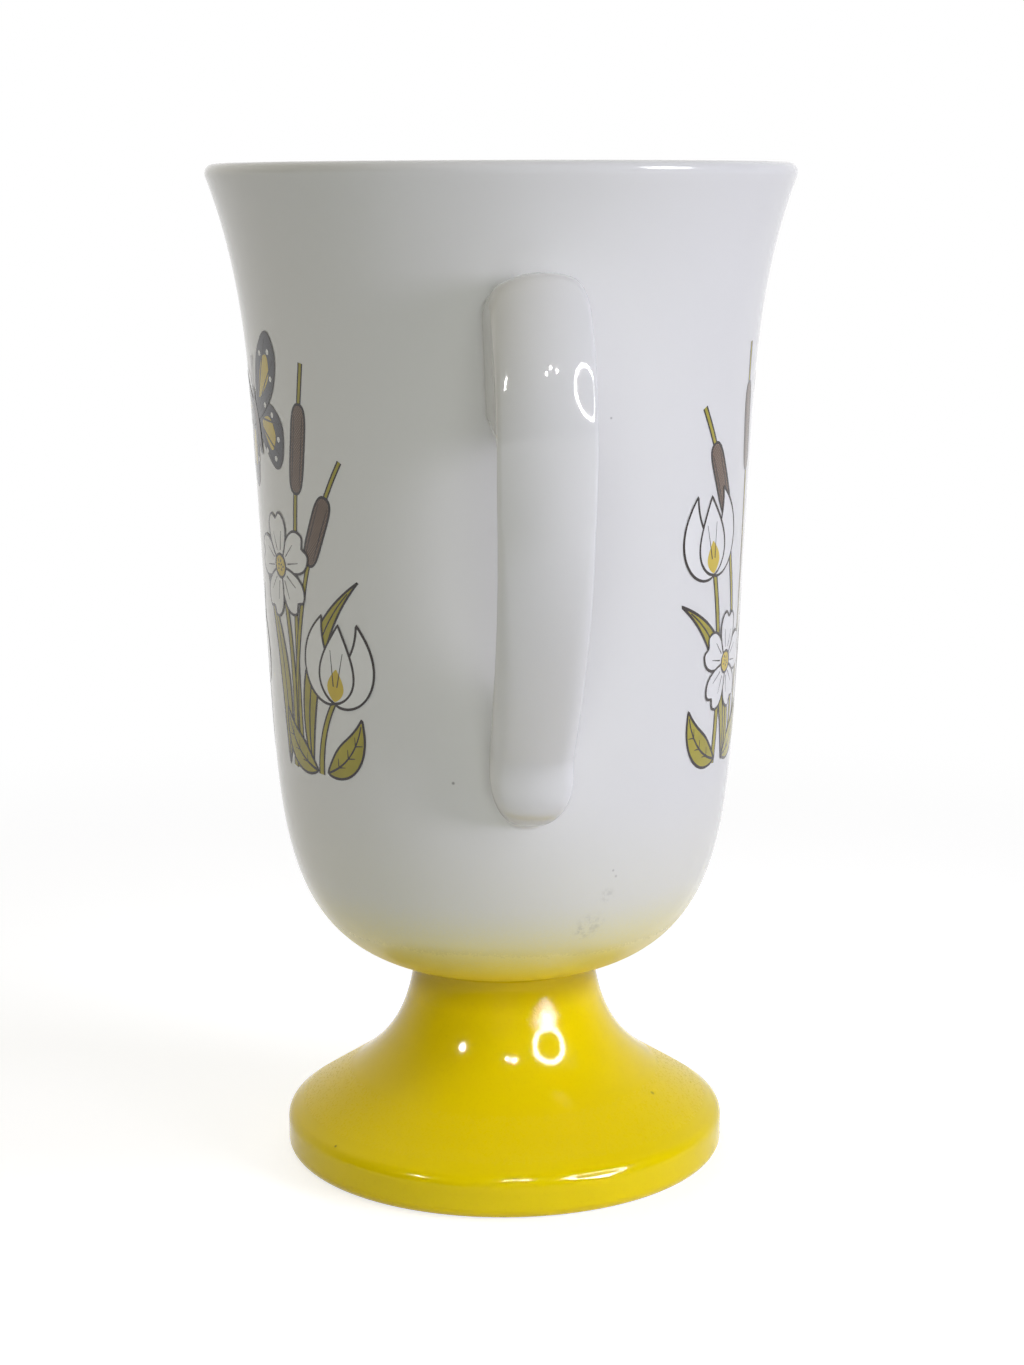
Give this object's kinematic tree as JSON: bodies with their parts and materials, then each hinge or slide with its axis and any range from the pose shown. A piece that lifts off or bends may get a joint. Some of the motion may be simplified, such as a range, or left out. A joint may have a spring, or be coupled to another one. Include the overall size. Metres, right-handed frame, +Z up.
{
  "type": "pedestal mug",
  "caption": "Tall pedestal mug with a flared bowl on a hollow trumpet foot, a strap handle luted to its side and a flat foot ring to stand on.",
  "frame": {"origin": "on the table, under the middle of the mug's plan box, handle included, so the bowl's axis is 8.4 mm towards -X", "axes": "+Z up along the bowl's axis, +X from the bowl towards the handle, +Y to the side"},
  "size_m": [0.0974, 0.0806, 0.14],
  "materials": {
    "white_glaze": "glossy clear glaze over white porcelain, with a fired-on print",
    "yellow_glaze": "glossy yellow sprayed glaze, bare on the foot ring",
    "slip": "fired joining slip under the glaze"
  },
  "bodies": {
    "root": {"bowl": "white_glaze", "pedestal_foot": "yellow_glaze", "foot_slip_joint": "slip", "handle": "white_glaze", "upper_handle_slip_joint": "slip", "lower_handle_slip_joint": "slip"}
  },
  "joints": []
}
